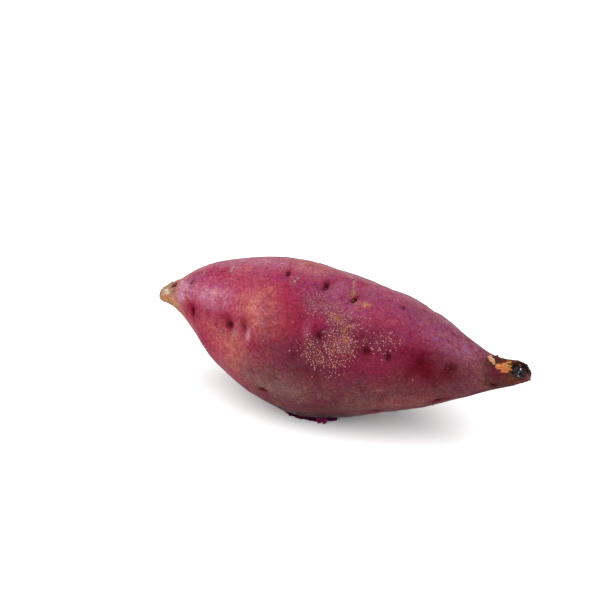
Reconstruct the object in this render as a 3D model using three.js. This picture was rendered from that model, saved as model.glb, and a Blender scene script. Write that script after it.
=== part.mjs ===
// A purple-skinned sweet potato: one storage root, whole, lying on its belly.
//
// Millimetres. +X runs along the root from its tail to its crown, where the
// vine was broken off, +Z is up and -Y is the front. The origin is on the
// surface that the root lies on, under the middle of its box.
//
// The skin is one closed surface. Rings of points stand along a middle line
// from the tail tip to the broken lip of the crown, and go on over the lip
// into the hollow that the vine has left. A place on the skin is named by
// its distance along the root and by its clock angle: 0 degrees faces the
// front, 90 is the top, 180 the back and 270 the belly.

import * as THREE from 'three';
import { LoftGeometry } from 'three/addons/geometries/LoftGeometry.js';

const { clamp, degToRad, euclideanModulo, smoothstep } = THREE.MathUtils;

// Rings and points

const POINTS_IN_RING = 60;
const SKIN_RINGS = 68;
const CUP_RINGS = 9;

// Lines of the skin: distance along the root, radius there, height of its middle

const SKIN_LINES = [
	[ 0, 0, 37.8 ],
	[ 0.8, 1.8, 38.1 ],
	[ 3, 3.6, 38.8 ],
	[ 8, 5.7, 39.6 ],
	[ 14, 9.3, 40 ],
	[ 22, 15.3, 39.6 ],
	[ 32, 22.0, 36.4 ],
	[ 44, 27.5, 33.5 ],
	[ 59, 31.4, 31.2 ],
	[ 75, 32.0, 29.9 ],
	[ 94, 28.7, 31.4 ],
	[ 114, 23.5, 34 ],
	[ 130, 17.5, 34.6 ],
	[ 143, 10.8, 34.6 ],
	[ 152, 6.7, 35.7 ],
	[ 158, 5.1, 37 ],
	[ 163.5, 3.8, 38.7 ]
];

// Lines of the hollow in the crown, from the lip down to its floor

const CUP_LINES = [
	[ 163.5, 3.8, 38.7 ],
	[ 163.9, 3.4, 38.7 ],
	[ 163.3, 2.9, 38.6 ],
	[ 160, 2.6, 37.7 ],
	[ 156.5, 1.9, 36.8 ],
	[ 155.5, 0, 36.6 ]
];

// Departures of the girth from a circle. share is part of the radius, waves the count of
// swellings round the girth, turn their clock angle and pitch how slowly they wind along the root.

const LOBES = [
	{ share: 0.016, waves: 2, turn: - 120, pitch: 60 },
	{ share: 0.010, waves: 3, turn: 57, pitch: - 45 },
	{ share: 0.004, waves: 5, turn: 0, pitch: 25 }
];
const END_RIDGES = { share: 0.012, waves: 5, turn: 0, pitch: 25 };
const BELLY = 74;

// Bend of the middle line, to the back at the belly and to the front at the neck

const BOW = 2.4;
const BOW_START = 10;
const BOW_SPAN = 95;

// Slant of the broken crown: how far the lip leans back for each millimetre up and to the front

const NECK_START = 140;
const LIP = 163.5;
const SLANT_UP = 0.75;
const SLANT_FRONT = 0.7;

// Torn fibres of the lip, in millimetres out of its slanted plane

const FIBRES_START = 158.5;
const FIBRES = [
	{ share: 0.35, waves: 3, turn: - 56, pitch: Infinity },
	{ share: 0.28, waves: 7, turn: 25, pitch: Infinity },
	{ share: 0.21, waves: 12, turn: - 90, pitch: Infinity }
];

// Skin torn off the upper side of the neck, back from the lip

const TORN = { along: 162, clock: 48, long: 17, high: 9, deep: 0.5 };
const TORN_FLOOR = 0.35;
const TORN_EDGE = 0.55;

// Cork on the tail tip, and the nick behind it

const CORK_START = 3;
const CORK_END = 11;
const CORK_LUMPS = { share: 0.35, waves: 4, turn: - 90, pitch: 0.9 };
const CORK_BREAKS = { share: 1, waves: 3, turn: 0, pitch: - 1 };
const NICK = { along: 11, clock: 80, wide: 4, high: 9, deep: 0.4, saucer: 0 };

// Eyes on the front and the top, where side roots grew.
// wide is the pit along the root, high the pit round it, deep its depth at the middle,
// and saucer the part of that depth which belongs to the soft dimple round the pit.

const SEEN_EYES = [
	{ along: 9, clock: 60, wide: 1.6, high: 1.6, deep: 1.3, saucer: 0 },
	{ along: 21.5, clock: 51, wide: 1.8, high: 2.4, deep: 0.4, saucer: 0.3 },
	{ along: 25.5, clock: 12, wide: 2.2, high: 3.2, deep: 1.5, saucer: 0.5 },
	{ along: 38, clock: 74, wide: 1.8, high: 5, deep: 0.35, saucer: 0.3 },
	{ along: 47.5, clock: 20, wide: 3.4, high: 3.8, deep: 2, saucer: 0.5 },
	{ along: 54.5, clock: 24, wide: 3, high: 3.6, deep: 1.4, saucer: 0.6 },
	{ along: 63.5, clock: 78, wide: 2, high: 2.8, deep: 1.2, saucer: 0.3 },
	{ along: 81.5, clock: 76, wide: 2.4, high: 4.6, deep: 1.5, saucer: 0.35 },
	{ along: 87, clock: 33, wide: 4.4, high: 5, deep: 1.2, saucer: 0.7 },
	{ along: 94, clock: 74, wide: 2.8, high: 6, deep: 2, saucer: 0.4 },
	{ along: 108, clock: 27, wide: 2.6, high: 3, deep: 1.3, saucer: 0.5 },
	{ along: 114.5, clock: 83, wide: 1.8, high: 2.2, deep: 0.7, saucer: 0.3 },
	{ along: 117, clock: 27, wide: 2.8, high: 3.4, deep: 1, saucer: 0.6 },
	{ along: 128, clock: 24, wide: 4, high: 4.4, deep: 1, saucer: 0.7 },
	{ along: 139, clock: 25, wide: 4.6, high: 3.6, deep: 0.8, saucer: 0.6 },
	{ along: 63.5, clock: - 23, wide: 2.8, high: 2.4, deep: 0.9, saucer: 0.4 },
	{ along: 72, clock: - 32, wide: 3, high: 2.6, deep: 0.5, saucer: 0.5 },
	{ along: 109, clock: - 48, wide: 2.6, high: 2.2, deep: 0.9, saucer: 0.4 },
	{ along: 134.5, clock: - 42, wide: 2.4, high: 2, deep: 0.9, saucer: 0.4 },
	{ along: 151, clock: - 40, wide: 2, high: 1.6, deep: 0.6, saucer: 0.3 }
];

// Rows of eyes on the back, at the spacing that the front shows

const BACK_ROWS = [ 132, 190, 246 ];
const EYES_IN_ROW = 5;
const FIRST_EYE = 24;
const EYE_SPACING = 24;
const EYE_DRIFT = 17;
const ROW_SWAY = 16;
const GOLDEN = 0.618;

// How steeply a pit and its dimple rise to the skin round them

const PIT_STEEP = 3;
const DIMPLE_STEEP = 0.5;

// How the rings are drawn together at an eye, so that its pit has points enough

const DRAW = 0.68;
const DRAW_REACH = 1.5;
const DRAW_LEAST = 3;
const STILL_END = 9;

const skinLine = curveThrough( SKIN_LINES );
const cupLine = curveThrough( CUP_LINES );
const skinLength = skinLine.getLength();
const eyes = [ ...SEEN_EYES, ...backEyes() ].map( located );
const nick = located( NICK );
const torn = located( TORN );

// A smooth line through stations, read in equal steps of its own length.
function curveThrough( stations ) {

	const points = stations.map( ( station ) => new THREE.Vector3( ...station ) );
	const curve = new THREE.CatmullRomCurve3( points );
	curve.arcLengthDivisions = 1500;
	return curve;

}

// The golden ratio spreads the back eyes unevenly, and the same way each time.
function backEyes() {

	const made = [];
	BACK_ROWS.forEach( ( row, r ) => {

		for ( let i = 0; i < EYES_IN_ROW; i ++ ) {

			const drift = euclideanModulo( GOLDEN * ( 1 + i + r * EYES_IN_ROW ), 1 );
			made.push( {
				along: FIRST_EYE + EYE_SPACING * i + EYE_DRIFT * drift,
				clock: row + ROW_SWAY * ( drift - 0.5 ),
				wide: 2 + 1.4 * drift,
				high: 4.2 - 1.6 * drift,
				deep: 0.8 + 0.9 * drift,
				saucer: 0.5
			} );

		}

	} );
	return made;

}

// Adds where a mark lies: its share of the skin line, its clock in radians and the radius there.
function located( mark ) {

	let low = 0;
	let high = 1;
	for ( let i = 0; i < 24; i ++ ) {

		const share = ( low + high ) / 2;
		if ( skinLine.getPointAt( share ).x < mark.along ) low = share;
		else high = share;

	}

	return { ...mark, share: low, turn: degToRad( mark.clock ), radius: skinLine.getPointAt( low ).y };

}

// Steps from a mark to a place on the skin, in millimetres along the root and round it.
function stepsFrom( mark, share, clock ) {

	const turned = euclideanModulo( clock - mark.turn + Math.PI, 2 * Math.PI ) - Math.PI;
	return { along: ( share - mark.share ) * skinLength, round: turned * mark.radius };

}

// Moves a place of the even grid towards the eyes near it.
function drawnTogether( share, clock ) {

	const fromEnd = Math.min( share, 1 - share ) * skinLength;
	const free = DRAW * smoothstep( fromEnd, 0, STILL_END );
	const place = { share, clock };
	for ( const eye of eyes ) {

		const step = stepsFrom( eye, place.share, place.clock );
		const reach = Math.max( DRAW_LEAST, DRAW_REACH * ( eye.wide + eye.high ) / 2 );
		const near = Math.exp( - ( step.along ** 2 + step.round ** 2 ) / ( 2 * reach ** 2 ) );
		place.share -= free * near * step.along / skinLength;
		place.clock -= free * near * step.round / eye.radius;

	}

	return place;

}

// Depth of one eye at a place: a pit with a soft dimple round it.
function sunk( eye, share, clock ) {

	const step = stepsFrom( eye, share, clock );
	const far = ( step.along / eye.wide ) ** 2 + ( step.round / eye.high ) ** 2;
	const pit = ( 1 - eye.saucer ) * Math.exp( - PIT_STEEP * far );
	const dimple = eye.saucer * Math.exp( - DIMPLE_STEEP * far );
	return eye.deep * ( pit + dimple );

}

// Depth of the patch where the skin is torn off, with a clear edge.
function tornDepth( share, clock ) {

	const step = stepsFrom( torn, share, clock );
	const far = Math.hypot( step.along / torn.long, step.round / torn.high );
	return torn.deep * ( 1 - smoothstep( far, TORN_FLOOR, TORN_EDGE ) );

}

function wave( { share, waves, turn, pitch }, along, clock ) {

	return share * Math.cos( waves * clock + degToRad( turn ) + along / pitch );

}

function corkLumps( along, clock ) {

	const ends = smoothstep( along, 0, CORK_START ) * ( 1 - smoothstep( along, CORK_START, CORK_END ) );
	return ends * wave( CORK_LUMPS, along, clock ) * wave( CORK_BREAKS, along, clock );

}

function bow( along ) {

	return BOW * Math.sin( Math.PI * ( along - BOW_START ) / BOW_SPAN );

}

// How far the girth departs from a circle: broad flats on the belly, ridges towards both ends.
function lobes( along, clock ) {

	const ends = clamp( Math.abs( along - BELLY ) / BELLY, 0, 1 ) ** 2;
	let lobed = 1 + ends * wave( END_RIDGES, along, clock );
	for ( const lobe of LOBES ) lobed += wave( lobe, along, clock );
	return lobed;

}

// How far the torn fibres of the lip stand out of its slanted plane.
function raggedLip( along, clock ) {

	let out = 0;
	for ( const fibre of FIBRES ) out += wave( fibre, along, clock );
	return out * smoothstep( along, FIBRES_START, LIP );

}

function ringPoint( along, radius, height, clock ) {

	const toFront = radius * Math.cos( clock );
	const up = radius * Math.sin( clock );
	const slanted = smoothstep( along, NECK_START, LIP );
	const back = slanted * ( SLANT_UP * up + SLANT_FRONT * toFront );
	const x = along - back + raggedLip( along, clock );
	return new THREE.Vector3( x, bow( along ) - toFront, Math.max( 0, height + up ) );

}

function skinPoint( evenShare, evenClock ) {

	const { share, clock } = drawnTogether( evenShare, evenClock );
	const { x: along, y: radius, z: height } = skinLine.getPointAt( clamp( share, 0, 1 ) );
	let skin = radius * lobes( along, clock ) + corkLumps( along, clock );
	skin -= tornDepth( share, clock );
	const offTip = smoothstep( along, 0, CORK_START );
	for ( const mark of [ ...eyes, nick ] ) skin -= offTip * sunk( mark, share, clock );
	return ringPoint( along, skin, height, clock );

}

function cupPoint( share, clock ) {

	const { x: along, y: radius, z: height } = cupLine.getPointAt( share );
	const wall = radius * lobes( LIP, clock ) - tornDepth( 1, clock ) * ( 1 - share );
	return ringPoint( along, Math.max( 0, wall ), height, clock );

}

function ring( pointAt, share ) {

	const points = [];
	for ( let i = 0; i < POINTS_IN_RING; i ++ ) {

		points.push( pointAt( share, - 2 * Math.PI * i / POINTS_IN_RING ) );

	}

	return points;

}

function rootGeometry() {

	const rings = [];
	for ( let i = 0; i <= SKIN_RINGS; i ++ ) rings.push( ring( skinPoint, i / SKIN_RINGS ) );
	for ( let i = 1; i <= CUP_RINGS; i ++ ) rings.push( ring( cupPoint, i / CUP_RINGS ) );
	const geometry = new LoftGeometry( rings );
	geometry.computeBoundingBox();
	const middle = geometry.boundingBox.getCenter( new THREE.Vector3() );
	return geometry.translate( - middle.x, - middle.y, 0 );

}

const skin = new THREE.MeshStandardMaterial( { color: 0x8c2b47, roughness: 0.5, metalness: 0 } );
const root = new THREE.Mesh( rootGeometry(), skin );
root.name = 'sweet_potato_root';

const group = new THREE.Group();
group.add( root );

export default group;
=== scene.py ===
# %% [markdown]
# # A purple-skinned sweet potato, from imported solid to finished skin
#
# The frame is one storage root as a plain solid: its true size, the flat spot that it lies on,
# its eyes and its broken crown. This lesson gives that solid its skin. The solid is never moved
# or changed. A finer copy of it is shown in its place, and the small things that a hand lens
# would find, such as specks, flakes and torn fibres, are grown on that copy.

# %% Load the frame
import math
import random

import bpy
import numpy as np
from mathutils import Matrix, Vector, noise


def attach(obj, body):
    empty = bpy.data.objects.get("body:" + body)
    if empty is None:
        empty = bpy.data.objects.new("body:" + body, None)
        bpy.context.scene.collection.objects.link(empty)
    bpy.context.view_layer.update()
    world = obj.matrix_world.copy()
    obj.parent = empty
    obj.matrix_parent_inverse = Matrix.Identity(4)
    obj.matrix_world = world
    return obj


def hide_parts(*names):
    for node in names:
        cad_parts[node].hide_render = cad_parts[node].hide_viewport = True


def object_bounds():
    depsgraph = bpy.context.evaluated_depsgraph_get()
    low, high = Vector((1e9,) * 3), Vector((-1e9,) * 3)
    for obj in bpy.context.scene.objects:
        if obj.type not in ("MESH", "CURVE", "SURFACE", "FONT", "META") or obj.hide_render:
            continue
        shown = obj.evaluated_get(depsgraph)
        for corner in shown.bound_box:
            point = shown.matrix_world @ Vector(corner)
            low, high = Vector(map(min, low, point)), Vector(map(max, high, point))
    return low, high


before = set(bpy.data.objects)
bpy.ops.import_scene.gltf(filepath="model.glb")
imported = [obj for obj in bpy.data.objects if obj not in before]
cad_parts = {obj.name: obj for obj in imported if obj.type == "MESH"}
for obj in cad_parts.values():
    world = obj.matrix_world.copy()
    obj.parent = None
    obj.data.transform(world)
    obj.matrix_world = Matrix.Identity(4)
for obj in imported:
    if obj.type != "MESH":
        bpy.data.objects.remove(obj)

cad_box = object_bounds()
cad_low, cad_high = cad_box
print("CAD box in mm:", [round(1000 * side, 1) for side in cad_high - cad_low])

# %% [markdown]
# ## Words for sizes, and how a piece is picked
#
# Blender works in metres, and a root is better measured in millimetres, so one factor stands
# between them. An operator acts on all that is selected, and the frame comes in selected, so
# each step first drops the selection and then picks its own piece.

# %% Millimetres, and picking a piece
MM = 0.001


def pick(piece):
    bpy.ops.object.select_all(action="DESELECT")
    piece.select_set(True)
    bpy.context.view_layer.objects.active = piece


def apply_modifiers(piece):
    pick(piece)
    for modifier in list(piece.modifiers):
        bpy.ops.object.modifier_apply(modifier=modifier.name)


bpy.ops.object.select_all(action="DESELECT")
print("pieces in the frame:", sorted(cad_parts))

# %% [markdown]
# ## The camera
#
# The picture was taken from a little above and from the crown's side, with a long lens that
# hardly narrows the far end. A long lens stands far back, so its distance and its focal length
# together set how many millimetres one pixel covers. The camera is aimed so that the middle of
# the belly falls on its own pixel of the picture, which is 600 pixels wide.

# %% Place the camera
PICTURE_SIDE = 600
LENS = 85
SENSOR = 36
CAMERA_AZIMUTH = math.radians(26)
CAMERA_ELEVATION = math.radians(25)
CAMERA_DISTANCE = 0.588
BELLY_POINT = Vector((-8.84, -2.04, 31.5)) * MM
BELLY_PIXEL = (316.5, 340.5)

back_of_view = Vector((
    math.sin(CAMERA_AZIMUTH) * math.cos(CAMERA_ELEVATION),
    -math.cos(CAMERA_AZIMUTH) * math.cos(CAMERA_ELEVATION),
    math.sin(CAMERA_ELEVATION),
))
right_of_view = Vector((math.cos(CAMERA_AZIMUTH), math.sin(CAMERA_AZIMUTH), 0))
up_of_view = back_of_view.cross(right_of_view)
pixel = CAMERA_DISTANCE * SENSOR / LENS / PICTURE_SIDE
aim = BELLY_POINT.copy()
aim -= (BELLY_PIXEL[0] - PICTURE_SIDE / 2) * pixel * right_of_view
aim += (BELLY_PIXEL[1] - PICTURE_SIDE / 2) * pixel * up_of_view

bpy.ops.object.camera_add(location=aim + back_of_view * CAMERA_DISTANCE)
camera = bpy.context.object
camera.name = "studio_camera"
camera.data.lens = LENS
camera.data.sensor_width = SENSOR
camera.rotation_euler = (-back_of_view).to_track_quat("-Z", "Y").to_euler()
bpy.context.scene.camera = camera
print("one pixel on the root covers", round(pixel / MM, 3), "mm")

# %% [markdown]
# ## Floor and light
#
# The root lies on a white sweep that the light burns out to pure white, so only its soft shadow
# draws the floor. A very wide sun is the easiest large softbox: its light is even over the whole
# floor, and its size blurs the shadow. It hangs high and to the front, as the sheen on the upper
# front of the root says. A pale sky fills the shadows. A material is a tree of nodes whose inputs
# are numbers or other nodes' outputs, and one helper takes both.

# %% Starting a material, and giving a node its inputs
def feed(node, inputs):
    """Gives a node its inputs, as numbers or as another node's output."""
    for name, value in inputs.items():
        if isinstance(value, bpy.types.NodeSocket):
            node.id_data.links.new(value, node.inputs[name])
        else:
            node.inputs[name].default_value = value


def new_material(name):
    """Starts a material. The helpers that add a node add it to this material's tree."""
    global tree
    made = bpy.data.materials.new(name)
    made.use_nodes = True
    tree = made.node_tree
    return made, tree.nodes["Principled BSDF"]


# %% Floor
FLOOR_SIDE = 12
FLOOR_WHITE = (0.92, 0.92, 0.92, 1)
FLOOR_DROP = 0.02 * MM

bpy.ops.mesh.primitive_plane_add(size=FLOOR_SIDE, location=(0, 0, -FLOOR_DROP))
floor = bpy.context.object
floor.name = "white_floor"
paper, paper_shader = new_material("white_paper")
feed(paper_shader, {"Base Color": FLOOR_WHITE, "Roughness": 0.9})
floor.data.materials.append(paper)
print("floor:", floor.name, "with", paper.name)

# %% Lights
SUN_WIDTH = math.radians(110)
SUN_STRENGTH = 5.2
SUN_FROM = Vector((0.1, -0.7, 0.9))
SKY_STRENGTH = 0.5

bpy.ops.object.light_add(type="SUN", location=SUN_FROM)
sun = bpy.context.object
sun.name = "softbox_above"
sun.data.energy = SUN_STRENGTH
sun.data.angle = SUN_WIDTH
sun.rotation_euler = SUN_FROM.to_track_quat("Z", "Y").to_euler()

sky = bpy.data.worlds.new("pale_sky")
sky.use_nodes = True
feed(sky.node_tree.nodes["Background"], {"Color": (1, 1, 1, 1), "Strength": SKY_STRENGTH})
bpy.context.scene.world = sky
bpy.context.scene.view_settings.view_transform = "Standard"
print("lights:", sun.name, "and", sky.name)

# %% [markdown]
# ## The skin's mesh
#
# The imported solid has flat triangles, which is right for a solid and wrong for a skin. Its copy is
# merged into one surface, its triangles are paired back into four-sided faces, and a subdivision
# surface rounds them. Level 2 gives points about 0.8 mm apart on the belly and closer at the eyes
# and the crown, and stays well under 200,000 triangles.

# %% Copy the solid and round it
MERGE_DISTANCE = 0.01 * MM
SKIN_LEVELS = 2

cad_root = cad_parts["sweet_potato_root"]
skin = bpy.data.objects.new("sweet_potato_skin", cad_root.data.copy())
bpy.context.scene.collection.objects.link(skin)
skin.data.materials.clear()
pick(skin)
bpy.ops.object.mode_set(mode="EDIT")
bpy.ops.mesh.select_all(action="SELECT")
bpy.ops.mesh.remove_doubles(threshold=MERGE_DISTANCE)
bpy.ops.mesh.tris_convert_to_quads(face_threshold=math.pi, shape_threshold=math.pi)
bpy.ops.mesh.faces_shade_smooth()
bpy.ops.object.mode_set(mode="OBJECT")
corners = np.array([len(face.vertices) for face in skin.data.polygons])
print("cage:", len(corners), "faces,", int((corners == 3).sum()), "of them triangles")

rounding = skin.modifiers.new("rounding", "SUBSURF")
rounding.levels = SKIN_LEVELS
rounding.render_levels = SKIN_LEVELS
apply_modifiers(skin)
print("skin:", len(skin.data.vertices), "points,", len(skin.data.polygons), "faces")

# %% [markdown]
# ## Finding a place on the skin
#
# A mark on a root is easiest to name by how far it is along the root and by its clock angle round
# it: 0 degrees faces the front, 90 is the top, 180 the back and -90 the belly. The solid was drawn
# that way, about a middle line that bows a little and whose crown is cut on a slant. Undoing that
# for every point tells where on the root it is.

# %% The middle line and its slanted crown
MIDDLE_HEIGHTS = [
    (0, 37.8), (14, 40), (32, 36.4), (59, 31.2), (75, 29.9), (94, 31.4),
    (114, 34), (130, 34.6), (143, 34.6), (152, 35.7), (163.5, 38.7),
]
BOW = 2.4
BOW_START = 10
BOW_SPAN = 95
NECK_START = 140
LIP = 163.5
SLANT_UP = 0.75
SLANT_FRONT = 0.7


def read(mesh, what):
    values = np.empty(len(mesh.vertices) * 3, np.float32)
    mesh.vertices.foreach_get(what, values)
    return values.reshape(-1, 3).astype(float)


def smoothstep(value, low, high):
    share = np.clip((value - low) / (high - low), 0, 1)
    return share * share * (3 - 2 * share)


def middle_height(along):
    return np.interp(along, *zip(*MIDDLE_HEIGHTS))


def bow(along):
    return BOW * np.sin(np.pi * (along - BOW_START) / BOW_SPAN)


def slant_back(along, up, to_front):
    return smoothstep(along, NECK_START, LIP) * (SLANT_UP * up + SLANT_FRONT * to_front)


points = read(skin.data, "co") / MM
tail_tip = points[points[:, 0].argmin()]
root_start = np.array([tail_tip[0], tail_tip[1] - bow(0.0), 0])
print("start of the middle line:", root_start.round(2).tolist(), "mm")

# %% Distance along the root, clock angle and radius of every point
SLANT_ROUNDS = 4
# The hollow's own wall starts past this distance, and keeps within this radius
HOLLOW_START = 152
HOLLOW_RADIUS = 4


def survey():
    """Reads where on the root every point of the skin is."""
    global points, normals, along, clock, radius, in_hollow
    points = read(skin.data, "co") / MM
    normals = read(skin.data, "normal")
    from_tip = points - root_start
    along = from_tip[:, 0].copy()
    for _ in range(SLANT_ROUNDS):
        up = from_tip[:, 2] - middle_height(along)
        to_front = bow(along) - from_tip[:, 1]
        along = from_tip[:, 0] + slant_back(along, up, to_front)
    clock = np.degrees(np.arctan2(up, to_front))
    radius = np.hypot(up, to_front)
    facing_axis = (normals[:, 2] * up - normals[:, 1] * to_front) < 0
    in_hollow = facing_axis & (along > HOLLOW_START) & (radius < HOLLOW_RADIUS)


survey()
print("along:", along.min().round(1), "to", along.max().round(1), "mm")
print("points in the hollow:", int(in_hollow.sum()))


# %% How far a named place is from every point
def steps_from(place_along, place_clock):
    """Millimetres along the root and round it, from a named place to every point."""
    turned = (clock - place_clock + 180) % 360 - 180
    return along - place_along, np.radians(turned) * radius


def far_from(place_along, place_clock, reach_along=1, reach_round=1):
    """How many reaches, along the root and round it, every point is from a named place."""
    step_along, step_round = steps_from(place_along, place_clock)
    return np.hypot(step_along / reach_along, step_round / reach_round)


def nearest(place_along, place_clock):
    """The outer point of the skin nearest to a named place."""
    step_along, step_round = steps_from(place_along, place_clock)
    return int((step_along**2 + step_round**2 + 1e6 * in_hollow).argmin())


print("radius at the front, 75 mm along:", radius[nearest(75, 0)].round(1), "mm")

# %% [markdown]
# ## The eyes
#
# Each eye is the scar of a side root: a narrow core in a soft dimple whose crimson is partly
# painted shade. The cores are only a millimetre or two wide, finer than the mesh, so the faces near
# them are split first. Then every point learns how far it is from the nearest eye, in widths of
# that eye. The carving and the material both read that one distance, so the dark core, partly its
# own colour and partly painted shade, lies exactly in its pit.

# %% The table of eyes
# Along and clock of the eye, half its core along the root and round it, its lean towards the
# tail in degrees, its extra depth, how dark its core is (its own dark and painted shade in the
# pit), and how strong the painted crimson shade in its dimple is
EYE_CORES = [
    (9, 60, 0.8, 0.8, 0, 0.9, 1.0, 0.0),
    (21.7, 51, 0.7, 0.8, 0, 0.1, 0.3, 0.3),
    (25.4, 12.5, 0.7, 1.2, 8, 0.7, 0.85, 1.0),
    (47.0, 20.5, 1.2, 1.3, 10, 0.7, 0.75, 1.0),
    (54.2, 25, 0.9, 1.3, 10, 0.35, 0.35, 0.8),
    (63.4, 80, 0.7, 1.6, 18, 0.6, 0.8, 0.5),
    (81.0, 79, 0.75, 2.2, 12, 0.7, 0.9, 0.5),
    (92.6, 79, 0.8, 2.0, 22, 0.2, 0.3, 0.3),
    (94.6, 74, 0.95, 2.0, 8, 1.1, 1.0, 0.4),
    (86.8, 33, 0.7, 1.1, 20, 0.3, 0.6, 0.45),
    (107.2, 26.5, 0.85, 1.0, 10, 0.4, 0.75, 0.3),
    (114.5, 83, 0.8, 1.1, 10, 0.2, 0.5, 0.1),
    (115.9, 23.5, 0.6, 1.4, 12, 0.35, 0.7, 0.5),
    (128, 24, 1.0, 1.5, 12, 0.15, 0.35, 0.4),
    (139, 25, 1.3, 1.4, 0, 0.15, 0.45, 0.3),
    (63.5, -23, 1.4, 0.8, 0, 0.5, 0.85, 0.0),
    (75.3, -9, 1.2, 0.8, 0, 0.1, 0.3, 0.0),
    (109.5, -49, 1.6, 0.7, 0, 0.3, 0.7, 0.0),
    (133.6, -43.5, 1.3, 0.8, 0, 0.5, 0.8, 0.0),
    (154.5, -38, 0.8, 0.7, 0, 0.3, 0.8, 0.0),
    (36.6, 62, 0.7, 0.5, 0, 0.0, 0.0, 0.2),
    (121.5, 96, 0.8, 0.4, 0, 0.1, 0.7, 0.0),
    (135.5, 86, 0.7, 0.4, 0, 0.1, 0.6, 0.0),
    (140.5, 103, 0.6, 0.4, 0, 0.1, 0.6, 0.0),
    (130.9, -57, 0.6, 0.4, 0, 0.1, 0.8, 0.0),
    (147.1, -52, 0.7, 0.4, 0, 0.1, 0.7, 0.0),
    (56.0, 60, 0.8, 0.4, 30, 0.1, 0.25, 0.1),
]
BACK_ROWS = [132, 190, 246]
EYES_IN_ROW = 5
GOLDEN = 0.618
FAR_OFF = 5.0


def back_eyes():
    """The rows of eyes on the back, by the same rule and numbers as the solid's own pits."""
    made = []
    for row, turn in enumerate(BACK_ROWS):
        for place in range(EYES_IN_ROW):
            drift = GOLDEN * (1 + place + row * EYES_IN_ROW) % 1
            where = (24 + 24 * place + 17 * drift, turn + 16 * (drift - 0.5))
            core = (0.5 + 0.3 * drift, 1.4 - 0.5 * drift, 12 * drift)
            made.append((*where, *core, 0.2 + 0.5 * drift, 0.4 + 0.5 * drift, 0.7 * drift))
    return made


def widths_from(eye):
    """How many core widths every point is from an eye."""
    step_along, step_round = steps_from(eye[0], eye[1])
    lean = math.radians(eye[4])
    across = step_along * math.cos(lean) + step_round * math.sin(lean)
    down = step_round * math.cos(lean) - step_along * math.sin(lean)
    return np.hypot(across / eye[2], down / eye[3])


eyes = EYE_CORES + back_eyes()
print("eyes:", len(eyes))

# %% Split the faces near the eyes and read the places again
EYE_REACH = 1.9
EYE_CUTS = 2

bpy.context.tool_settings.mesh_select_mode = (False, False, True)
near_eye = np.zeros(len(points), bool)
for eye in eyes:
    near_eye |= far_from(eye[0], eye[1]) < EYE_REACH
near_eye &= ~in_hollow
pick(skin)
bpy.ops.object.mode_set(mode="EDIT")
bpy.ops.mesh.select_all(action="DESELECT")
bpy.ops.object.mode_set(mode="OBJECT")
for face in skin.data.polygons:
    face.select = bool(near_eye[face.vertices[0]] and near_eye[face.vertices[2]])
bpy.ops.object.mode_set(mode="EDIT")
bpy.ops.mesh.subdivide(number_cuts=EYE_CUTS, smoothness=0)
bpy.ops.object.mode_set(mode="OBJECT")
survey()
on_skin = ~in_hollow
triangles = sum(len(face.vertices) - 2 for face in skin.data.polygons)
print("skin with fine eyes:", len(points), "points,", triangles, "triangles")

# %% [markdown]
# ## Carving the skin
#
# A root's skin is never as smooth as a lathe leaves it. It swells a little between the eyes, it
# is drawn into fine lengthwise creases towards both ends, and each eye holds its narrow core. All
# of these move the points in or out along their normals, so they are real shape, and a mesh taken
# from the script has them too.

# %% Cores of the eyes
SHOULDER = 0.25
SHOULDER_AT = 2.3
SHOULDER_WIDE = 0.8
DIMPLE_REACH = (2.6, 3.25)


def bell(value, middle=0, width=1):
    """1 at the middle, falling off softly on both sides."""
    return np.exp(-(((value - middle) / width) ** 2))


inward, eye_dark_and_shade, dimple_shade = np.zeros((3, len(points)))
eye_far = np.full(len(points), FAR_OFF)
for eye in eyes:
    far = widths_from(eye)
    deep, dark, dimple = eye[5:]
    inward += deep * bell(far)
    inward -= SHOULDER * deep * bell(far, SHOULDER_AT, SHOULDER_WIDE)
    eye_dark_and_shade[far < eye_far] = dark
    eye_far = np.minimum(eye_far, far)
    # Painted crimson shade in each eye's dimple, as a share
    dimple_far = far_from(eye[0], eye[1], *DIMPLE_REACH)
    dimple_shade = np.maximum(dimple_shade, dimple * bell(dimple_far))
print("deepest core:", inward.max().round(2), "mm")

# %% Where the swellings, cracks and scars are
# Height in mm, size in mm and seed of each layer of swellings
SWELLINGS = [(0.22, 13, 3), (0.1, 5, 7), (0.035, 2.2, 17)]
# Start and end of each fine crack, along and clock, then half its width and its depth
CRACKS = [
    (131.6, 74, 142.9, 57, 0.35, 0.14),
    (133.7, 31, 133.7, 43, 0.45, 0.20),
    (151.9, 78, 152.0, 30, 0.40, 0.12),
    (19.0, 66, 36.0, 69, 0.40, 0.10),
    (96, 168, 113, 160, 0.40, 0.12),
    (60, 228, 66, 214, 0.50, 0.16),
]
FULLY_DARK_CRACK = 0.2
# Start and end of each pale scar, along and clock, then half its width
SCARS = [
    (39.0, 70, 37.7, 80, 0.30),
    (38.0, 71, 37.3, 76, 0.25),
    (25.2, 71, 25.8, 62, 0.28),
    (88.8, 100, 92.8, 80, 0.24),
    (69.2, 76, 68.2, 70, 0.28),
]
print("cracks:", len(CRACKS), "and scars:", len(SCARS))

# %% Random values and lines on the skin
# The noise function keeps to about 0.6 either way, and this stretches it to about 1
NOISE_GAIN = 1.6


def waver(size, seed):
    """Smooth random values, about -1 to 1, that change over size millimetres."""
    return np.array([noise.noise(Vector(p)) for p in points / size + seed]) * NOISE_GAIN


def creases(length, count, seed):
    """Lengthwise creases: long along the root, and count of them fit round it."""
    turn = np.radians(clock)
    ring = np.stack([along / length, count * np.cos(turn) / 6, count * np.sin(turn) / 6], 1)
    return np.array([noise.noise(Vector(p) + Vector((seed, 0, 0))) for p in ring]) * NOISE_GAIN


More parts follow.
